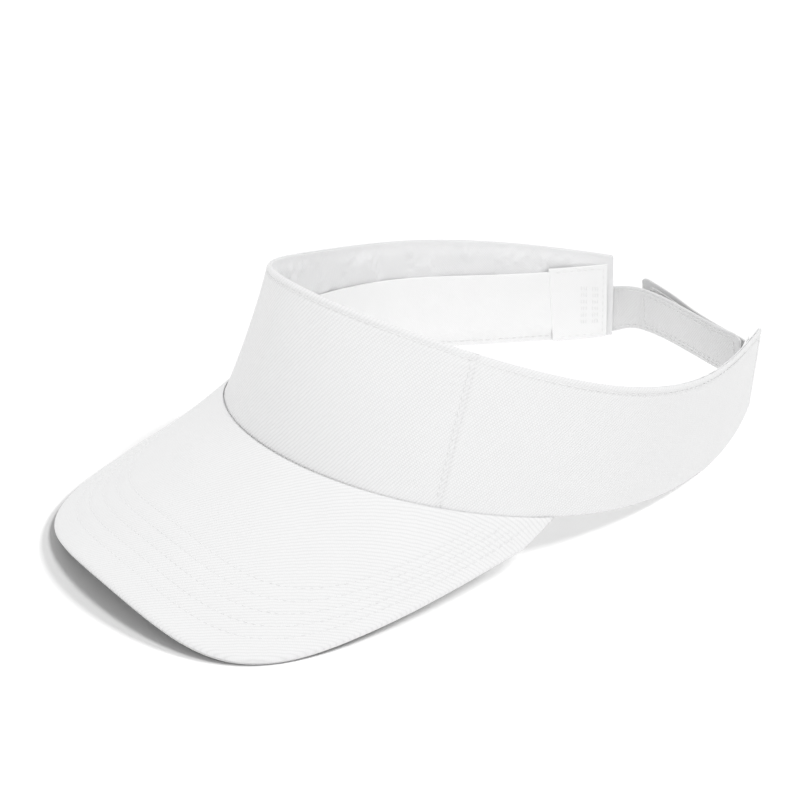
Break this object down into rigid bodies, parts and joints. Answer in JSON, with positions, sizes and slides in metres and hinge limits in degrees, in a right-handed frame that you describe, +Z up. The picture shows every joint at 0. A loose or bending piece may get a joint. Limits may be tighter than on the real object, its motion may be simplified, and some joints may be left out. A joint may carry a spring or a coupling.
{
  "type": "sun visor",
  "caption": "White fabric sun visor with a curved stiffened brim, an open-topped raised headband, an inner sweatband and an overlapping hook-and-loop strap behind the head.",
  "frame": {"origin": "on the plane the visor rests on, under the middle of the object's bounding box", "axes": "+Z up, brim towards -Y, the wearer's left towards +X"},
  "size_m": [0.1558, 0.2778, 0.0983],
  "materials": {
    "cotton_twill": "matte woven twill",
    "lining_cloth": "matte woven",
    "sweatband_cloth": "matte soft woven",
    "buckram": "stiff open weave",
    "brim_board": "matte",
    "hook_and_loop": "matte pile"
  },
  "bodies": {
    "visor_front": {"brim_top_cover": "cotton_twill", "brim_stiffener": "brim_board", "brim_bottom_cover": "cotton_twill", "front_panel": "cotton_twill", "front_buckram": "buckram", "front_lining": "lining_cloth", "sweatband_front": "sweatband_cloth", "left_side_panel_front": "cotton_twill", "left_side_lining_front": "lining_cloth", "right_side_panel_front": "cotton_twill", "right_side_lining_front": "lining_cloth"},
    "left_side": {"left_side_panel_rear": "cotton_twill", "left_side_lining_rear": "lining_cloth", "sweatband_left": "sweatband_cloth", "left_end_patch": "lining_cloth", "closure_tab_root": "cotton_twill"},
    "right_side": {"right_side_panel_rear": "cotton_twill", "right_side_lining_rear": "lining_cloth", "sweatband_right": "sweatband_cloth", "right_end_patch": "lining_cloth", "closure_strap": "cotton_twill", "loop_tape": "hook_and_loop"},
    "tab": {"closure_tab": "cotton_twill", "hook_tape": "hook_and_loop"}
  },
  "joints": [
    {"name": "left_side_flex", "type": "hinge", "parent": "visor_front", "child": "left_side", "pos_m": [0.0775, 0.02154, 0.03], "axis": [0, 0, -1], "range_deg": [0, 8], "stiffness_Nm_per_rad": 0.05},
    {"name": "right_side_flex", "type": "hinge", "parent": "visor_front", "child": "right_side", "pos_m": [-0.0775, 0.02154, 0.03], "axis": [0, 0, 1], "range_deg": [0, 8], "stiffness_Nm_per_rad": 0.05},
    {"name": "tab_peel", "type": "hinge", "parent": "left_side", "child": "tab", "pos_m": [0.03882, 0.12727, 0.0126], "axis": [-0.0177, -0.0827, -0.9964], "range_deg": [0, 120]}
  ],
  "couplings": [
    {"joint": "right_side_flex", "follows": "left_side_flex", "ratio": 1}
  ]
}
